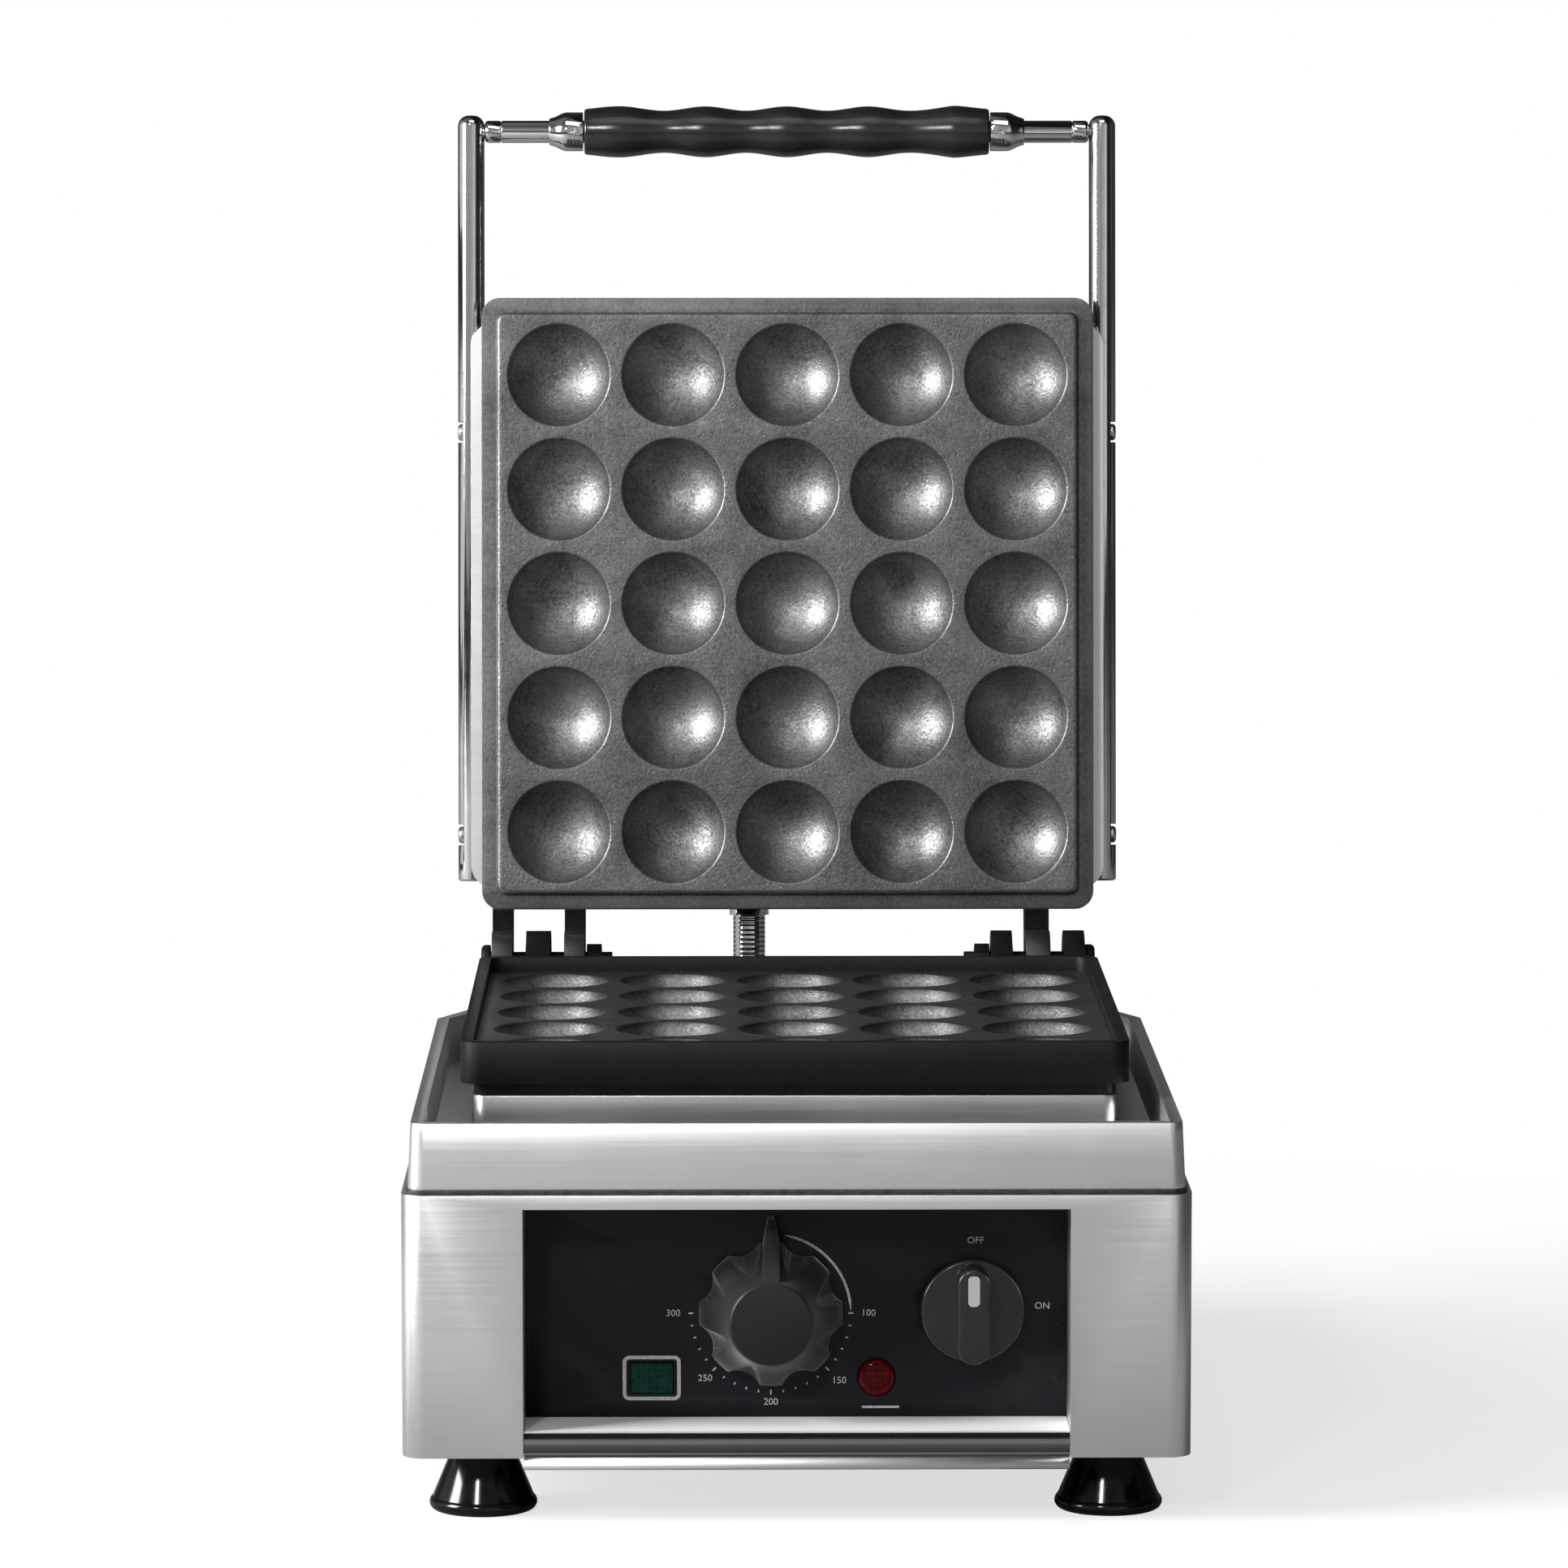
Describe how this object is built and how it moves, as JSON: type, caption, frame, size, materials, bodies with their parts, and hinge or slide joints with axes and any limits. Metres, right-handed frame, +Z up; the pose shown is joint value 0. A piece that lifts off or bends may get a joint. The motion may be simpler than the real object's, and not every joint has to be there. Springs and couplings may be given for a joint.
{
  "type": "bubble waffle maker",
  "caption": "Countertop bubble waffle maker: two cast plates of round cups on a hinge, a tall handle with a spinning grip, a drip tray and a stainless base with thermostat and switch.",
  "frame": {"origin": "on the worktop, under the middle of the machine's width and of its depth with the lid open", "axes": "+Z up, +X to the right seen from the front, +Y to the back; rest pose is the lid open"},
  "size_m": [0.305, 0.4294, 0.5387],
  "materials": {
    "stainless": "brushed, satin",
    "chrome": "polished",
    "casting": "grainy, seasoned",
    "panel_black": "smooth, semi-gloss",
    "gloss_black": "polished",
    "satin_black": "fine grain",
    "white_plastic": "smooth",
    "green_lens": "clear over dark",
    "red_lens": "clear over dark",
    "rubber": "smooth",
    "zinc": "zinc plated",
    "element_steel": "heat darkened",
    "insulation": "pressed fibre board",
    "ceramic": "glazed"
  },
  "bodies": {
    "base": {"housing": "stainless", "base_pan": "stainless", "front_rail": "stainless", "control_panel": "panel_black", "rear_cover": "stainless", "rear_screws": "zinc", "top_deck": "stainless", "pedestal": "stainless", "lower_plate": "casting", "lower_element": "element_steel", "lower_clamp": "zinc", "lower_insulation": "insulation", "lower_studs": "zinc", "hinge_bolt_left": "casting", "hinge_bolt_right": "casting", "hinge_nut_left": "casting", "hinge_nut_right": "casting", "thermostat_body": "ceramic", "switch_body": "satin_black", "green_lamp": "green_lens", "green_lamp_holder": "satin_black", "red_lamp": "red_lens", "red_lamp_holder": "satin_black", "foot_front_left": "rubber", "foot_front_right": "rubber", "foot_rear_left": "rubber", "foot_rear_right": "rubber", "foot_screws": "zinc", "terminal_block": "ceramic", "mains_gland": "satin_black", "conduit_elbow": "chrome", "conduit": "chrome"},
    "lid": {"upper_plate": "casting", "upper_element": "element_steel", "upper_clamp": "zinc", "upper_insulation": "insulation", "lid_cover": "stainless", "cover_screws": "zinc", "side_rod_left": "chrome", "side_rod_right": "chrome", "rod_screws": "zinc", "handle_bar": "chrome", "ferrule_left": "chrome", "ferrule_right": "chrome", "set_screws": "casting", "lid_gland": "chrome"},
    "grip": {"handle_grip": "gloss_black"},
    "knob": {"thermostat_knob": "satin_black", "thermostat_spindle": "zinc"},
    "selector": {"switch_knob": "gloss_black", "switch_marker": "white_plastic", "switch_spindle": "zinc"}
  },
  "joints": [
    {"name": "lid_hinge", "type": "hinge", "parent": "base", "child": "lid", "pos_m": [0, 0.13427, 0.174], "axis": [1, 0, 0], "range_deg": [0, 96], "deforming": ["conduit"]},
    {"name": "grip_spin", "type": "hinge", "parent": "lid", "child": "grip", "pos_m": [0, 0.19621, 0.52746], "axis": [1, 0, 0], "continuous": true},
    {"name": "knob_turn", "type": "hinge", "parent": "base", "child": "knob", "pos_m": [-0.0098, -0.18473, 0.0774], "axis": [0, 1, 0], "range_deg": [0, 270]},
    {"name": "selector_turn", "type": "hinge", "parent": "base", "child": "selector", "pos_m": [0.0686, -0.18473, 0.0789], "axis": [0, 1, 0], "range_deg": [0, 90]}
  ]
}
